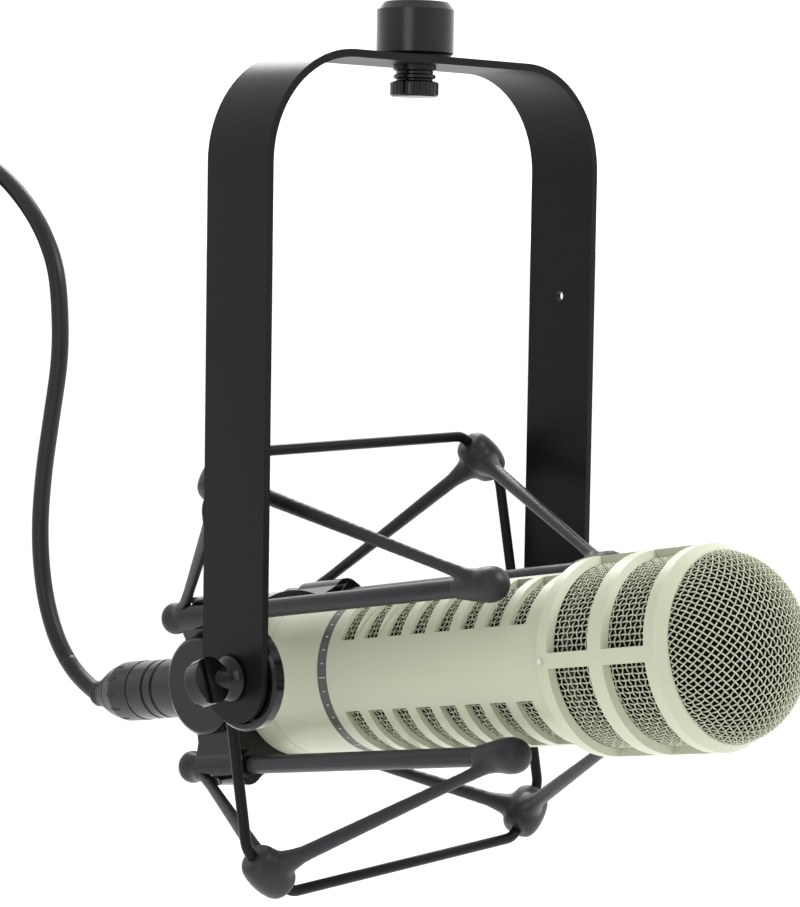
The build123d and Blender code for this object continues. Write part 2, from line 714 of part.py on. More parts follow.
def far_plug():
    """The male connector on the cable's far end."""
    origin = TAIL_START - Vector(0, 0, TAIL_L)
    plane, axis = lengthwise(origin, (0, 0, -1))
    connector_boot("far_plug_boot", plane, axis, CABLE_R)
    connector_bushing("far_plug_bushing", plane, axis)
    rear = BOOT_L + BUSHING_L
    front = rear + PLUG_SHELL_L
    save("far_plug_shell", turned(plane, axis, [
        (rear, 0), (rear, XLR_R), (rear + 8, XLR_R), (rear + 8.3, XLR_R - 0.5),
        (rear + 9.3, XLR_R - 0.5), (rear + 9.6, XLR_R), (front - 1, XLR_R), (front, XLR_R - 0.8),
        (front, 8.2), (front - 16, 8.2), (front - 16, 0),
    ]))
    with BuildPart() as pins:
        with BuildSketch(Plane(origin=origin + Vector(0, 0, 16 - front), z_dir=(0, 0, -1))):
            with PolarLocations(PIN_CIRCLE_R, 3, start_angle=30):
                Circle(1.2)
        extrude(amount=13)
    save("far_plug_pins", pins)


# ---------------------------------------------------------------- free cable
# From the boot up behind the yoke, over a crest and on to the top of the coil's outer turn.
CABLE_ROUTE = [
    tuple(mic_point(BOOT_REAR)),
    (0, 158.9, -224.3), (0, 169.8, -217.2), (0, 177.8, -207), (0, 183.3, -193), (0, 185.6, -175),
    (0, 183.6, -155), (0, 178.7, -133.6), (0, 173.6, -112.5), (0, 174, -94.5), (0, 176.6, -80.5),
    (0, 184.8, -67.8), (0, 196.7, -57), (0, 211, -48), (0, 228, -41.9), (0, 246, -39), (0, 262, -39),
]


def fitted_radii(route):
    """For each corner of a route, the largest tangent arc that its two runs allow."""
    radii = []
    points = [Vector(*p) for p in route]
    for before, here, after in zip(points, points[1:], points[2:]):
        arriving, leaving = here - before, after - here
        half_turn = radians(arriving.get_angle(leaving)) / 2
        radii.append(0.45 * min(arriving.length, leaving.length) / tan(half_turn))
    return radii


def cable_tube():
    """The cable from the connector's boot to the coil, and its straight tail to the far plug."""
    radii = fitted_radii(CABLE_ROUTE)
    with BuildPart() as run:
        with BuildLine() as route:
            FilletPolyline(*CABLE_ROUTE, radius=radii)
        path = route.wire()
        with BuildSketch(Plane(origin=path @ 0, z_dir=path % 0)):
            Circle(CABLE_R)
        sweep(path=path)
    ratio = run.part.volume / (pi * CABLE_R ** 2 * path.length)
    coiled = 2 * pi * COIL_MEAN_R * COIL_TURNS
    print("cable radii:", [round(r) for r in radii], "volume ratio:", round(ratio, 4))
    print("cable length:", round(path.length), "+", round(coiled), "coiled +", TAIL_L, "tail")
    with BuildPart() as piece:
        add(run.part)
        with BuildSketch(Plane(origin=TAIL_START, z_dir=(0, 0, -1))):
            Circle(CABLE_R)
        extrude(amount=TAIL_L + BOOT_L)
    save("cable_tube", piece)


def cable_coil():
    """The outer shape of the coiled length, a ring of rounded section that hangs upright."""
    width = COIL_LAYERS * 2 * CABLE_R
    depth = COIL_ROWS * 2 * CABLE_R
    section = Plane(origin=COIL_CENTRE, x_dir=(1, 0, 0), z_dir=(0, -1, 0))
    with BuildPart() as piece:
        with BuildSketch(section):
            with Locations((0, COIL_MEAN_R)):
                RectangleRounded(width, depth, CABLE_R)
        revolve(axis=Axis(COIL_CENTRE, (1, 0, 0)))
    save("cable_coil", piece)


def cable_wrap():
    """The hook-and-loop strap round the coil's near side."""
    width = COIL_LAYERS * 2 * CABLE_R + 0.6
    depth = COIL_ROWS * 2 * CABLE_R + 2.4
    at = Vector(*COIL_CENTRE) - Vector(0, COIL_MEAN_R - 0.4, 8)
    with BuildPart() as piece:
        with BuildSketch(Plane(origin=at, x_dir=(1, 0, 0), z_dir=(0, 0, 1))):
            RectangleRounded(width + 2.8, depth + 2.8, CABLE_R + 1.4)
            RectangleRounded(width, depth, CABLE_R, mode=Mode.SUBTRACT)
        extrude(amount=16)
    save("cable_wrap", piece)


# ---------------------------------------------------------------- build
stand_adapter()
pan_washer()
pan_thumbscrew()
yoke_strap()
for side_name, side in SIDES.items():
    tilt_knob(side_name, side)
    pivot_cup(side_name, side)
    clamp_disc(side_name, side)
wire_frame()
for v_name, v_side in {"upper": 1, "lower": -1}.items():
    clamp_half(f"clamp_{v_name}", v_side)
    for side_name, side in SIDES.items():
        suspension_tie(f"suspension_tie_{v_name}_{side_name}", side, v_side)
        suspension_rod(f"suspension_rod_{v_name}_{side_name}", side, v_side)
rod_collars()
body_tube()
head_shell()
dome("front_grille", GRILLE_R, HEAD_FRONT - 1.4, DOME_RISE + 1.4, 0.6)
pop_foam()
casing_rings()
head_screws()
inner_parts()
shock_rings()
filter_board()
socket_parts()
bass_switch()
microphone_connector()
latch_button()
cable_tube()
far_plug()
cable_coil()
cable_wrap()
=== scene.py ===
"""Broadcast microphone in a yoke suspension mount: its looks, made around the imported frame.

Sizes and places are in millimetres where MM, mic_point or on_microphone turns them into
metres, the frame's unit, and in metres elsewhere. A station is a place along the microphone's
axis, measured from the tilt pivots, forward positive.
"""
import json
from math import cos, pi, radians, sin, sqrt

import bpy
import numpy as np
from mathutils import Matrix, Vector


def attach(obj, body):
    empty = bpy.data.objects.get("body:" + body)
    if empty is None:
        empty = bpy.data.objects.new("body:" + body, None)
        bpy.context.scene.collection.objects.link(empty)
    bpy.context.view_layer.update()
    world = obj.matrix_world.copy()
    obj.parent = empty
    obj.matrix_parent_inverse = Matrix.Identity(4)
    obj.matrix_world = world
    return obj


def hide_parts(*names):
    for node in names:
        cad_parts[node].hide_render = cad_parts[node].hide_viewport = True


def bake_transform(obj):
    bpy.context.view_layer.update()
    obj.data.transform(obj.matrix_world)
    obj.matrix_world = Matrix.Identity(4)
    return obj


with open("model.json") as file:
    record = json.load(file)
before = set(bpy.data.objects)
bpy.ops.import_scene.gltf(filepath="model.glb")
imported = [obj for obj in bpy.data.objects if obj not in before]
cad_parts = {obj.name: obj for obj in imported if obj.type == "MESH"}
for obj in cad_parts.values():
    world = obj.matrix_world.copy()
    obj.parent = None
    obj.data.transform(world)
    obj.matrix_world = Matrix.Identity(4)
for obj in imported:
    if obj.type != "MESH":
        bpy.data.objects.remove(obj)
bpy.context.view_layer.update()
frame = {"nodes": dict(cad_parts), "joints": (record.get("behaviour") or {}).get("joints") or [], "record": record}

MM = 0.001
nodes = frame["nodes"]
joints = {joint["name"]: joint for joint in frame["joints"]}

# ---------------------------------------------------------------- shared frame
ACROSS = Vector((1, 0, 0))
UPWARD = Vector(joints["suspension"]["axis"]).normalized()
FORWARD = Vector(joints["bass_switch_slide"]["axis"]).normalized()
PIVOT = Vector(joints["tilt"]["pos_m"])
MIC_DROP = 6 * MM                   # the microphone's axis runs this far under the pivots
MIC_ORIGIN = PIVOT - UPWARD * MIC_DROP
MIC_ROLL = radians(-3.3)            # the microphone's turn about its own axis
FRAME_BACK = 10.5                   # the suspension's wire frame, behind the pivots
FRAME_HALF_W = 60.2 * MM
FRAME_HALF_H = 63 * MM
FRAME_CORNER = 14 * MM


def mic_point(station, x=0.0, v=0.0):
    """A point on the microphone, by its station and its offsets across and up, in millimetres."""
    return MIC_ORIGIN + (FORWARD * station + ACROSS * x + UPWARD * v) * MM


def mic_matrix():
    """Axes across, up and forward at the pivots, for meshes made in millimetres."""
    basis = Matrix((ACROSS, UPWARD, FORWARD)).transposed().to_4x4()
    return Matrix.Translation(mic_point(0.0)) @ basis @ Matrix.Scale(MM, 4)


# ---------------------------------------------------------------- materials
FINE_PATTERNS = {
    # pattern: the node that makes it, the output that gives its height, its own settings
    "noise": ("ShaderNodeTexNoise", "Fac", {"Detail": 3}),
    "cells": ("ShaderNodeTexVoronoi", "Distance", {}),
    "rings": ("ShaderNodeTexWave", "Fac", {"Distortion": 0.4}),
}
BLOTCH_EDGES = (0.35, 0.65)         # the noise values between which the two tints blend


def linear(red, green, blue):
    """Linear values of a colour given in display values from 0 to 255."""
    return tuple(((c / 255 + 0.055) / 1.055) ** 2.4 if c > 10 else c / 255 / 12.92
                 for c in (red, green, blue))


def surface(name, color, roughness, metallic=0.0, variation=0.08, blotch=60.0, grain=900.0,
            bump=0.05, bump_size=0.0002, coat=0.0, coat_roughness=0.1, specular=0.5, sheen=0.0,
            rough_spread=0.08, pattern="noise"):
    """A material with blotches of colour, uneven roughness and a fine bump."""
    material = bpy.data.materials.new(name)
    material.use_nodes = True
    tree = material.node_tree
    shader = tree.nodes["Principled BSDF"]
    for socket, value in (("Metallic", metallic), ("Specular IOR Level", specular),
                          ("Coat Weight", coat), ("Coat Roughness", coat_roughness),
                          ("Sheen Weight", sheen)):
        shader.inputs[socket].default_value = value

    place = tree.nodes.new("ShaderNodeTexCoord")
    cloud = tree.nodes.new("ShaderNodeTexNoise")
    cloud.inputs["Scale"].default_value = blotch
    cloud.inputs["Detail"].default_value = 4
    tree.links.new(place.outputs["Object"], cloud.inputs["Vector"])

    tint = tree.nodes.new("ShaderNodeValToRGB")
    for stop, edge, change in zip(tint.color_ramp.elements, BLOTCH_EDGES, (-variation, variation)):
        stop.position = edge
        stop.color = (*[min(c * (1 + change), 1) for c in color], 1)
    tree.links.new(cloud.outputs["Fac"], tint.inputs["Fac"])
    tree.links.new(tint.outputs["Color"], shader.inputs["Base Color"])

    spread = tree.nodes.new("ShaderNodeMapRange")
    spread.inputs["To Min"].default_value = max(roughness - rough_spread, 0.02)
    spread.inputs["To Max"].default_value = min(roughness + rough_spread, 1)
    tree.links.new(cloud.outputs["Fac"], spread.inputs["Value"])
    tree.links.new(spread.outputs["Result"], shader.inputs["Roughness"])

    node_type, height, settings = FINE_PATTERNS[pattern]
    fine = tree.nodes.new(node_type)
    for socket, value in settings.items():
        fine.inputs[socket].default_value = value
    if pattern == "rings":
        fine.bands_direction = "Z"
    fine.inputs["Scale"].default_value = grain
    tree.links.new(place.outputs["Object"], fine.inputs["Vector"])

    relief = tree.nodes.new("ShaderNodeBump")
    relief.inputs["Strength"].default_value = bump
    relief.inputs["Distance"].default_value = bump_size
    tree.links.new(fine.outputs[height], relief.inputs["Height"])
    tree.links.new(relief.outputs["Normal"], shader.inputs["Normal"])
    return material


def beige(name, roughness=0.42, grain=2600):
    """The microphone's paint."""
    return surface(name, linear(179, 181, 158), roughness, variation=0.025, blotch=30, grain=grain,
                   bump=0.12, bump_size=0.00006, coat=0.12, coat_roughness=0.35, specular=0.45)


MATERIALS = {
    "satin_body": beige("satin_beige_paint"),
    "grille_wire": beige("beige_wire", roughness=0.38, grain=5000),
    "foam": surface("black_foam", (0.004, 0.004, 0.004), 0.95, variation=0.3, grain=1400,
                    bump=1.0, bump_size=0.0006, specular=0.1, pattern="cells"),
    "dark_band": surface("dark_band", linear(62, 62, 58), 0.45, grain=3000, bump=0.1),
    "black_steel": surface("black_coated_steel", linear(17, 17, 17), 0.34, variation=0.06,
                           blotch=25, grain=2200, bump=0.10, bump_size=0.00008, specular=0.13),
    "adapter_black": surface("black_turned_metal", linear(20, 20, 21), 0.24, metallic=0.2,
                             grain=900, bump=0.15, bump_size=0.00008, specular=0.4, coat=0.12,
                             coat_roughness=0.15, pattern="rings"),
    "black_plastic": surface("glossy_black_plastic", linear(9, 9, 9), 0.16, variation=0.1,
                             grain=700, bump=0.04, specular=0.3, rough_spread=0.04),
    "rubber": surface("blue_grey_rubber", linear(34, 35, 38), 0.42, variation=0.12, blotch=80,
                      grain=2500, bump=0.12, bump_size=0.0001, specular=0.28),
    "rod_satin": surface("dark_satin_rod", linear(44, 45, 47), 0.4, specular=0.25,
                         variation=0.08, grain=2200, bump=0.1, bump_size=0.00008),
    "shock_rubber": surface("soft_black_rubber", linear(24, 24, 24), 0.7, grain=1500, bump=0.2),
    "connector_metal": surface("warm_grey_metal", linear(34, 32, 30), 0.32, metallic=0.4,
                               specular=0.35, variation=0.08, grain=1800, bump=0.08, coat=0.1),
    "connector_black": surface("black_moulded_plastic", linear(18, 18, 18), 0.35, grain=1500,
                               bump=0.15, specular=0.3),
    "connector_rubber": surface("black_boot_rubber", linear(20, 20, 20), 0.45, grain=1800,
                                bump=0.2, specular=0.3),
    "contact_metal": surface("plated_pin", linear(205, 202, 195), 0.25, metallic=1.0, grain=900),
    "cable_jacket": surface("black_cable_jacket", linear(20, 20, 21), 0.42, specular=0.3,
                            variation=0.12, blotch=120, grain=2500, bump=0.2, bump_size=0.0001),
    "hook_loop": surface("black_hook_and_loop", linear(24, 24, 25), 0.9, variation=0.2,
                         grain=3500, bump=1.0, bump_size=0.0005, sheen=0.3),
    "inner_plastic": surface("black_inner_plastic", linear(40, 40, 40), 0.5, grain=1200),
    "film": surface("clear_film", linear(200, 196, 180), 0.2, grain=800),
    "copper": surface("copper_winding", linear(184, 110, 70), 0.35, metallic=0.9, grain=3000,
                      bump=0.4, pattern="rings"),
    "soft_iron": surface("plated_iron", linear(150, 150, 152), 0.35, metallic=0.9, grain=1500),
    "magnet_metal": surface("magnet_alloy", linear(130, 130, 132), 0.4, metallic=0.9, grain=900),
    "lamination": surface("laminated_core", linear(110, 100, 90), 0.5, metallic=0.6, grain=1800,
                          bump=0.4, pattern="rings"),
    "board": surface("circuit_board", linear(40, 92, 60), 0.4, grain=1500),
}
MARKS = surface("pale_marks", linear(190, 190, 180), 0.5, grain=3000)

for part in frame["record"]["subparts"]:
    for material_slot in nodes[part["node"]].material_slots:
        material_slot.link = "OBJECT"
        material_slot.material = MATERIALS[part["material_slot"]]


def soften(width, *names):
    """Small rounded edges on hard-edged parts, so that they catch the light."""
    for name in names:
        weld = nodes[name].modifiers.new("weld", "WELD")
        weld.merge_threshold = 0.00002
        edge = nodes[name].modifiers.new("edge", "BEVEL")
        edge.width = width
        edge.segments = 2
        edge.limit_method = "ANGLE"
        edge.angle_limit = radians(40)


soften(0.0004, "clamp_disc_left", "clamp_disc_right")
soften(0.0003, "tilt_knob_left", "tilt_knob_right")


# ---------------------------------------------------------------- mesh helpers
def piece(name, mesh, material_name, body=None, replaced=()):
    """A new object with the material of a record slot, its body and the nodes it replaces."""
    made = bpy.data.objects.new(name, mesh)
    bpy.context.scene.collection.objects.link(made)
    mesh.materials.append(MATERIALS[material_name])
    mesh.shade_smooth()
    if replaced:
        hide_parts(*replaced)
    if body:
        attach(made, body)
    return made


def from_arrays(name, points, faces):
    """A mesh from its points and faces."""
    mesh = bpy.data.meshes.new(name)
    mesh.from_pydata([tuple(p) for p in points], [], [tuple(f) for f in faces])
    mesh.update()
    return mesh


def tube_rings(centres, normals, radii, sides, closed):
    """Points and faces of one tube along centres, its sections set by a normal at each."""
    centres, normals = np.asarray(centres, float), np.asarray(normals, float)
    if closed:
        along = np.roll(centres, -1, 0) - np.roll(centres, 1, 0)
    else:
        along = np.gradient(centres, axis=0)
    along /= np.linalg.norm(along, axis=1, keepdims=True)
    normals = normals - along * (normals * along).sum(1, keepdims=True)
    normals /= np.linalg.norm(normals, axis=1, keepdims=True)
    beside = np.cross(along, normals)
    radii = np.broadcast_to(np.asarray(radii, float), len(centres))[:, None, None]
    turn = np.arange(sides) * 2 * pi / sides
    ring = normals[:, None] * np.cos(turn)[:, None] + beside[:, None] * np.sin(turn)[:, None]
    points = (centres[:, None] + ring * radii).reshape(-1, 3)
    count = len(centres)
    faces = []
    for i in range(count if closed else count - 1):
        a, b = i * sides, (i + 1) % count * sides
        faces += [(a + k, a + (k + 1) % sides, b + (k + 1) % sides, b + k) for k in range(sides)]
    if not closed:
        faces += [tuple(range(sides))[::-1], tuple(range((count - 1) * sides, count * sides))]
    return points, faces


def joined_tubes(name, tubes):
    """One mesh of many tubes, each given as the arguments of tube_rings."""
    points, faces, start = [], [], 0
    for tube in tubes:
        tube_points, tube_faces = tube_rings(*tube)
        points.append(tube_points)
        faces += [tuple(start + i for i in face) for face in tube_faces]
        start += len(tube_points)
    return from_arrays(name, np.concatenate(points), faces)


def on_microphone(mesh):
    """Moves a mesh made in millimetres about the microphone's axis to its place."""
    mesh.transform(mic_matrix())
    return mesh


# ---------------------------------------------------------------- woven wire
MESH_PITCH = 1.68
DOME_PITCH = 1.7
MESH_WIRE_R = 0.21
CRIMP = 0.29                        # how far a wire swings out and in as it crosses others
STEPS = 4                           # points along a wire for each wire it crosses
WIRE_SIDES = 5
ARC_SAMPLES = 400
SLOT_MIDDLES = (50.5, 129.5, 230.5, 309.5)  # degrees round the body, as is SLOT_HALF
SLOT_HALF = 27
BODY_WEAVE = dict(radius=21.75, rear=-8.0, front=74.5)
HEAD_WEAVE = dict(radius=24.65, rear=80.5, front=118.5)
DOME_WEAVE = dict(edge_r=24.9, edge_s=120.4, rise=18.4)


def weave_on_cylinder(radius, rear, front, arcs):
    """Wires along and around a cylinder, each crimped over and under the others it crosses."""
    around = 2 * round(pi * radius / MESH_PITCH)
    step = 2 * pi / around
    rows = int((front - rear) / MESH_PITCH)
    tubes = []

    def at(angle, station, lift):
        outward = np.stack([np.cos(angle), np.sin(angle), 0 * angle], -1)
        axis = np.stack([0 * angle, 0 * angle, station], -1)
        return outward * (radius + lift)[..., None] + axis, outward

    for first, last in arcs:
        whole = last - first >= 2 * pi - 1e-6
        start, end = int(np.ceil(first / step)), int(np.floor(last / step))
        for i in range(start, end if whole else end + 1):
            j = np.arange(rows * STEPS + 1) / STEPS
            angle = np.full(len(j), i * step)
            centres, outward = at(angle, rear + j * MESH_PITCH, CRIMP * np.cos(pi * (i + j)))
            tubes.append((centres, outward, MESH_WIRE_R, WIRE_SIDES, False))
        for j in range(rows + 1):
            i = np.arange(start * STEPS, end * STEPS + (0 if whole else 1)) / STEPS
            station = np.full(len(i), rear + j * MESH_PITCH)
            centres, outward = at(i * step, station, -CRIMP * np.cos(pi * (i + j)))
            tubes.append((centres, outward, MESH_WIRE_R, WIRE_SIDES, whole))
    return tubes


def weave_on_dome(edge_r, edge_s, rise):
    """A square weave drawn over half an ellipsoid, measured along it from its tip."""
    turn = np.linspace(0, pi / 2, ARC_SAMPLES)
    section = np.column_stack([edge_r * np.sin(turn), rise * np.cos(turn)])
    arc = np.concatenate([[0], np.cumsum(np.linalg.norm(np.diff(section, axis=0), axis=1))])
    count = int(arc[-1] / DOME_PITCH)
    tubes = []
    for family in (0, 1):
        for i in range(-count, count + 1):
            steps = int(sqrt(max(arc[-1] ** 2 - (i * DOME_PITCH) ** 2, 0)) / DOME_PITCH * STEPS)
            if steps < STEPS:
                continue
            j = np.arange(-steps, steps + 1) / STEPS
            across = np.full(len(j), i)
            flat = np.column_stack([j, across] if family == 0 else [across, j]) * DOME_PITCH
            reach = np.hypot(*flat.T)
            heading = np.arctan2(flat[:, 1], flat[:, 0]) + pi / 4
            tip = np.interp(reach, arc, turn)
            out = np.column_stack([np.cos(heading), np.sin(heading)])
            drawn = np.column_stack([out * (edge_r * np.sin(tip))[:, None],
                                     edge_s + rise * np.cos(tip)])
            normal = np.column_stack([out * (np.sin(tip) / edge_r)[:, None], np.cos(tip) / rise])
            normal /= np.linalg.norm(normal, axis=1, keepdims=True)
            lift = (1 - 2 * family) * CRIMP * np.cos(pi * (i + j))
            tubes.append((drawn + normal * lift[:, None], normal, MESH_WIRE_R, WIRE_SIDES, False))
    return tubes


def weave(name, tubes, replaced):
    """A piece of woven wire in place of a plain CAD solid."""
    piece(name, on_microphone(joined_tubes(name, tubes)), "grille_wire", "cradle", [replaced])


slot_arcs = [(radians(middle - SLOT_HALF) + MIC_ROLL, radians(middle + SLOT_HALF) + MIC_ROLL)
             for middle in SLOT_MIDDLES]
weave("body_weave", weave_on_cylinder(arcs=slot_arcs, **BODY_WEAVE), "body_mesh")
weave("head_weave", weave_on_cylinder(arcs=[(0, 2 * pi)], **HEAD_WEAVE), "head_mesh")
weave("dome_weave", weave_on_dome(**DOME_WEAVE), "front_grille")


# ---------------------------------------------------------------- foam behind the head's weave
LINER_STATIONS = (79, 119.5)
LINER_RADII = (23.6, 24.15)
LINER_SEGMENTS = 96


def head_liner():
    """A sleeve of foam close behind the head's weave."""
    (rear, front), (inner, outer) = LINER_STATIONS, LINER_RADII
    outline = [(rear, inner), (front, inner), (front, outer), (rear, outer)]
    points, faces, count = [], [], len(outline)
    for k in range(LINER_SEGMENTS):
        angle = 2 * pi * k / LINER_SEGMENTS
        points += [(r * cos(angle), r * sin(angle), s) for s, r in outline]
        a, b = k * count, (k + 1) % LINER_SEGMENTS * count
        faces += [(a + i, a + (i + 1) % count, b + (i + 1) % count, b + i) for i in range(count)]
    mesh = on_microphone(from_arrays("head_liner", points, faces))
    piece("head_liner", mesh, "foam", "cradle")


head_liner()

# ---------------------------------------------------------------- index marks on the dark ring
MARK_COUNT = 36
LONG_EVERY = 6
MARK_STATION = -11.6
MARK_RADII = (23.55, 23.72)
MARK_HALF_WIDTH = 0.16
MARK_HALF_LONG, MARK_HALF_SHORT = 1.3, 0.5
CORNERS = ((-1, -1), (1, -1), (1, 1), (-1, 1))
BLOCK_FACES = ((4, 5, 6, 7), (3, 2, 1, 0), (0, 1, 5, 4), (1, 2, 6, 5), (2, 3, 7, 6), (3, 0, 4, 7))


def band_marks():
    """Plain raised index marks round the dark ring, long at every sixth."""
    points, faces = [], []
    for k in range(MARK_COUNT):
        angle = 2 * pi * k / MARK_COUNT + MIC_ROLL
        half_length = MARK_HALF_SHORT if k % LONG_EVERY else MARK_HALF_LONG
        start = len(points)
        for r in MARK_RADII:
            for a, s in CORNERS:
                turn = angle + a * MARK_HALF_WIDTH / r
                points.append((r * cos(turn), r * sin(turn), MARK_STATION + s * half_length))
        faces += [tuple(start + i for i in face) for face in BLOCK_FACES]
    mesh = on_microphone(from_arrays("band_marks", points, faces))
    made = piece("band_marks", mesh, "dark_band", "cradle")
    made.data.materials[0] = MARKS


band_marks()

# ---------------------------------------------------------------- rubber ties
ROD_X, ROD_V, ROD_R = 24.4, 23.2, 2.75
CAPS = ((-68.2, -79.6), (49.0, 68.0))       # stations of each cap's root and tip
CAP_SEAT = 6.0                              # from a cap's tip back to the strand's end in it
STRAND_SEAT = 0.5                           # from the grommet's middle to the strand's start
GROMMET_HALF = 7.4
TUBE_SIDES = 24
VOXEL = 0.0007
# Profiles give the radius at each share of a run.
CAP_PROFILE = [(0, ROD_R + 0.3), (0.06, ROD_R + 0.55), (0.25, 3.9), (0.5, 4.75), (0.68, 5.2),
               (0.82, 4.9), (0.92, 3.8), (0.98, 1.9), (1, 0.3)]
GROMMET_PROFILE = [(0, 3.6), (0.03, 4.6), (0.12, 5.4), (0.3, 6.0), (0.5, 6.2), (0.7, 6.0),
                   (0.88, 5.4), (0.97, 4.6), (1, 3.6)]


def strand_profile(reach):
    """A strand that swells at both ends, by distances from them, and is thin between."""
    return [(0, 4.0), (5 / reach, 3.9), (8 / reach, 3.1), (12 / reach, 2.4), (0.5, 2.05),
            (0.8, 1.8), (1 - 8 / reach, 2.0), (1 - 5 / reach, 2.9), (1, 4.0)]


def rounded_run(start, end, profile):
    """A straight round tube with the profile's radii, as the arguments of tube_rings."""
    points = [start.lerp(end, share) for share, _ in profile]
    normal = tuple((points[-1] - points[0]).orthogonal())
    radii = [r * MM for _, r in profile]
    return [tuple(p) for p in points], [normal] * len(points), radii, TUBE_SIDES, False


def melt(made):
    """Joins a piece's tubes into one skin with soft hollows where they meet."""
    remesh = made.modifiers.new("remesh", "REMESH")
    remesh.mode = "VOXEL"
    remesh.voxel_size = VOXEL
    remesh.use_smooth_shade = True
    relax = made.modifiers.new("relax", "SMOOTH")
    relax.factor = 0.6
    relax.iterations = 10
    depsgraph = bpy.context.evaluated_depsgraph_get()
    skin = bpy.data.meshes.new_from_object(made.evaluated_get(depsgraph))
    made.modifiers.clear()
    made.data = skin
    made.data.shade_smooth()


def rubber_tie(name, x_side, v_side):
    """A grommet on the wire's corner and two strands that swell into a cap on each rod end."""
    half = FRAME_CORNER / 2
    centre = (PIVOT - FORWARD * (FRAME_BACK * MM) + ACROSS * x_side * (FRAME_HALF_W - half)
              + UPWARD * v_side * (FRAME_HALF_H - half))
    along = (ACROSS * x_side - UPWARD * v_side).normalized()
    inward = (-ACROSS * x_side - UPWARD * v_side).normalized()
    rod = dict(x=x_side * ROD_X, v=v_side * ROD_V)
    start = centre + inward * STRAND_SEAT * MM
    tubes = [rounded_run(centre - along * GROMMET_HALF * MM, centre + along * GROMMET_HALF * MM,
                         GROMMET_PROFILE)]
    for root, tip in CAPS:
        ahead = 1 if tip > root else -1
        tubes.append(rounded_run(mic_point(root, **rod), mic_point(tip, **rod), CAP_PROFILE))
        end = mic_point(tip - ahead * CAP_SEAT, **rod)
        reach = (end - start).length / MM
        tubes.append(rounded_run(start, end, strand_profile(reach)))
    made = piece(name, joined_tubes(name, tubes), "rubber")
    melt(made)
    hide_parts("suspension_" + name)
    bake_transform(made)


for v_name, v_side in (("upper", 1), ("lower", -1)):
    for side_name, x_side in (("left", -1), ("right", 1)):
        rubber_tie(f"tie_{v_name}_{side_name}", x_side, v_side)

# ---------------------------------------------------------------- cable
CABLE_R = 3.0
CABLE_SIDES = 14
SPLINE_STEPS = 8
BOOT_REAR = -154.5
ROOT_LENGTH = 20 * MM
COIL_CENTRE = (-9.0, 262.0, -81.0)
COIL_MEAN_R = 36.0
COIL_TURNS = 12.25
COIL_ACROSS = (9, 3, -3, -9)
COIL_ROWS = (6, 0, -6)
TURN_POINTS = 16
SHIFT_START, SHIFT_SPAN = 0.8, 0.2          # a turn moves to the next seat over its last fifth
TAIL = [(-18.0, 304.0, z) for z in (-92.0, -103.0, -111.0)]
CABLE_ROUTE = [
    tuple(mic_point(BOOT_REAR) / MM),
    (0, 158.9, -224.3), (0, 169.8, -217.2), (0, 177.8, -207), (0, 183.3, -193),
    (0, 185.6, -175), (0, 183.6, -155), (0, 178.7, -133.6), (0, 173.6, -112.5),
    (0, 174, -94.5), (0, 176.6, -80.5), (0, 184.8, -67.8), (0, 196.7, -57), (0, 211, -48),
    (0, 228, -41.9), (0, 246, -39),
]


def coil_points():
    """The coil's turns, layer by layer, from its top round to the plug's side."""
    seats = [(x, row) for k, x in enumerate(COIL_ACROSS)
             for row in (COIL_ROWS if k % 2 == 0 else COIL_ROWS[::-1])]
    last = len(seats) - 1
    # The spline runs inside its control points, and this brings it back out to the radius.
    widen = 2 / (1 + cos(2 * pi / TURN_POINTS / 2) ** 2)
    points = []
    for k in range(int(COIL_TURNS * TURN_POINTS) + 1):
        turn, part = divmod(k / TURN_POINTS, 1)
        shift = max(0, (part - SHIFT_START) / SHIFT_SPAN)
        shift = shift * shift * (3 - 2 * shift)
        (x0, row0), (x1, row1) = seats[min(int(turn), last)], seats[min(int(turn) + 1, last)]
        x = x0 + (x1 - x0) * shift
        radius = (COIL_MEAN_R + row0 + (row1 - row0) * shift) * widen
        angle = pi / 2 - 2 * pi * k / TURN_POINTS
        points.append((COIL_CENTRE[0] + x, COIL_CENTRE[1] + radius * cos(angle),
                       COIL_CENTRE[2] + radius * sin(angle)))
    return points


def cord_line(name, control):
    """The smooth line of a cord, as points read from its NURBS curve."""
    curve = bpy.data.curves.new(name, "CURVE")
    curve.dimensions = "3D"
    curve.resolution_u = SPLINE_STEPS
    spline = curve.splines.new("NURBS")
    spline.points.add(len(control) - 1)
    for point, place in zip(spline.points, control):
        point.co = (*place, 1)
    spline.order_u = 3
    spline.use_endpoint_u = True
    holder = bpy.data.objects.new(name, curve)
    bpy.context.scene.collection.objects.link(holder)
    line = bpy.data.meshes.new_from_object(holder)
    points = [v.co.copy() for v in line.vertices]
    bpy.data.objects.remove(holder)
    return points


def carried_normals(points):
    """A normal at each point of a line, carried along it without twist."""
    tangents = [(b - a).normalized() for a, b in zip(points, points[1:])]
    tangents.append(tangents[-1])
    normal = ACROSS.copy()
    normals = []
    for tangent in tangents:
        normal = (normal - tangent * normal.dot(tangent)).normalized()
        normals.append(tuple(normal))
    return normals


def cable_piece(name, path, normals, *replaced):
    """A stretch of the cable as a round tube."""
    mesh = joined_tubes(name, [(path, normals, CABLE_R * MM, CABLE_SIDES, False)])
    return piece(name, mesh, "cable_jacket", replaced=replaced)


line = cord_line("cable_line", [Vector(p) * MM for p in CABLE_ROUTE + coil_points() + TAIL])
path = [tuple(p) for p in line]
normals = carried_normals(line)
boot_end = mic_point(BOOT_REAR)
split = next(i for i, p in enumerate(line) if (p - boot_end).length > ROOT_LENGTH)

root = cable_piece("cable_root", path[:split + 1], normals[:split + 1], "cable_tube")
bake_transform(root)
cable = cable_piece("cable", path[split:], normals[split:], "cable_tube", "cable_coil")
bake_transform(cable)

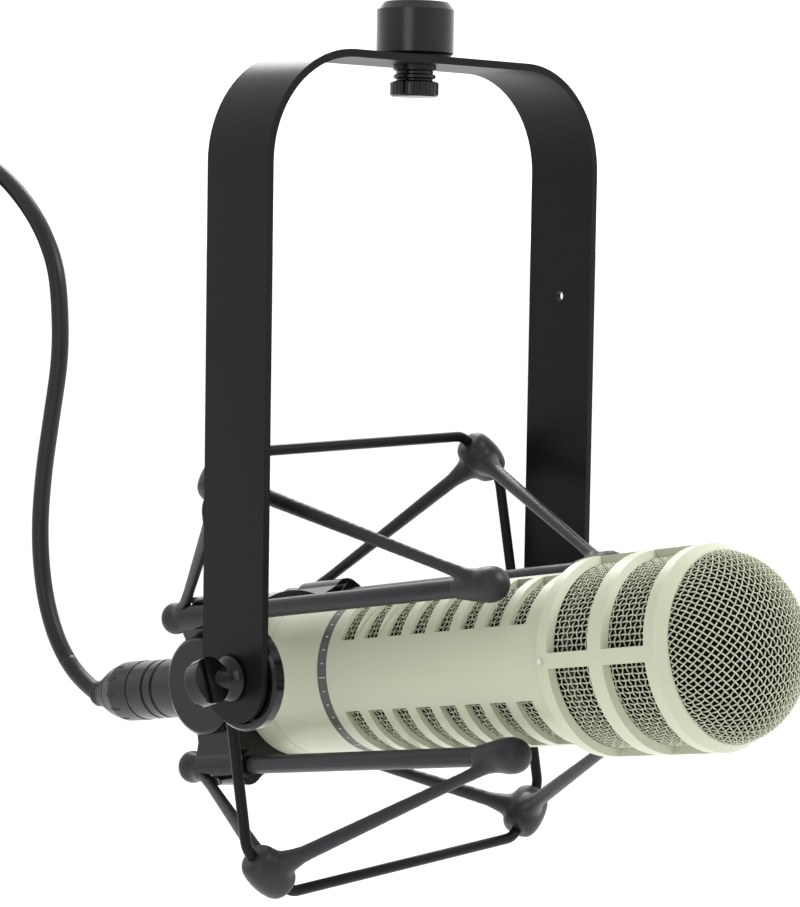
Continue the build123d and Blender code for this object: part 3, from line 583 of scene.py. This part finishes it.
# ---------------------------------------------------------------- studio
LIGHTS_AIM = (0, -0.02, -0.15)
LIGHTS = (
    # name, place, size, power
    ("key", (0.5, -0.9, 0.8), (0.6, 0.5), 12),
    ("fill", (-1.1, -0.5, 0.1), (0.5, 0.8), 2.5),
    ("rim", (0.6, 0.8, 0.6), (0.6, 0.5), 8),
)
BRIGHT_SIDE = (0.66, 0.70, 0.26)    # the direction in which the world is brightest
FLOOR_REACH, FLOOR_HEIGHT = 60.0, -0.62


def light(name, place, size, power):
    """A soft rectangular lamp turned towards the object."""
    lamp = bpy.data.lights.new(name, "AREA")
    lamp.shape = "RECTANGLE"
    lamp.size, lamp.size_y = size
    lamp.energy = power
    made = bpy.data.objects.new(name, lamp)
    bpy.context.scene.collection.objects.link(made)
    made.location = place
    aim = Vector(LIGHTS_AIM) - Vector(place)
    made.rotation_euler = aim.to_track_quat("-Z", "Y").to_euler()


def surroundings():
    """A white world, brighter on one side."""
    world = bpy.data.worlds.new("studio")
    world.use_nodes = True
    tree = world.node_tree
    heading = tree.nodes.new("ShaderNodeTexCoord")
    facing = tree.nodes.new("ShaderNodeVectorMath")
    facing.operation = "DOT_PRODUCT"
    facing.inputs[1].default_value = BRIGHT_SIDE
    tree.links.new(heading.outputs["Generated"], facing.inputs[0])
    fade = tree.nodes.new("ShaderNodeMapRange")
    for socket, value in (("From Min", -0.9), ("From Max", 1.0), ("To Min", 0.6), ("To Max", 1.5)):
        fade.inputs[socket].default_value = value
    tree.links.new(facing.outputs["Value"], fade.inputs["Value"])
    background = tree.nodes["Background"]
    tree.links.new(fade.outputs["Result"], background.inputs["Strength"])
    background.inputs["Color"].default_value = (1, 1, 1, 1)
    bpy.context.scene.world = world


def floor():
    """A wide pale floor under everything."""
    mesh = bpy.data.meshes.new("floor")
    mesh.from_pydata([(x * FLOOR_REACH, y * FLOOR_REACH, FLOOR_HEIGHT) for x, y in CORNERS],
                     [], [(0, 1, 2, 3)])
    made = bpy.data.objects.new("floor", mesh)
    bpy.context.scene.collection.objects.link(made)
    mesh.materials.append(surface("pale_floor", (0.97, 0.97, 0.97), 0.9, variation=0.01, blotch=3,
                                  grain=60, bump=0.02))


def camera():
    """A long lens, to the left of the front and a little above the tilt pivots."""
    azimuth, elevation, roll = radians(-44.08), radians(4.14), radians(0.92)
    distance = 0.68638
    target = PIVOT + Vector((-7.05, -3.33, 76.94)) * MM
    back = Vector((sin(azimuth) * cos(elevation), -cos(azimuth) * cos(elevation), sin(elevation)))
    right = Vector((cos(azimuth), sin(azimuth), 0))
    up = back.cross(right)
    tilted_right = right * cos(roll) + up * sin(roll)
    tilted_up = up * cos(roll) - right * sin(roll)
    data = bpy.data.cameras.new("camera")
    data.sensor_width = 36.0
    data.lens = 93.54
    data.shift_y = -0.0662
    data.clip_start, data.clip_end = 0.05, 50
    made = bpy.data.objects.new("camera", data)
    bpy.context.scene.collection.objects.link(made)
    made.matrix_world = (Matrix.Translation(target + back * distance)
                         @ Matrix((tilted_right, tilted_up, back)).transposed().to_4x4())
    bpy.context.scene.camera = made


surroundings()
for name, place, size, power in LIGHTS:
    light(name, place, size, power)
floor()
bpy.context.scene.view_settings.view_transform = "Standard"
camera()
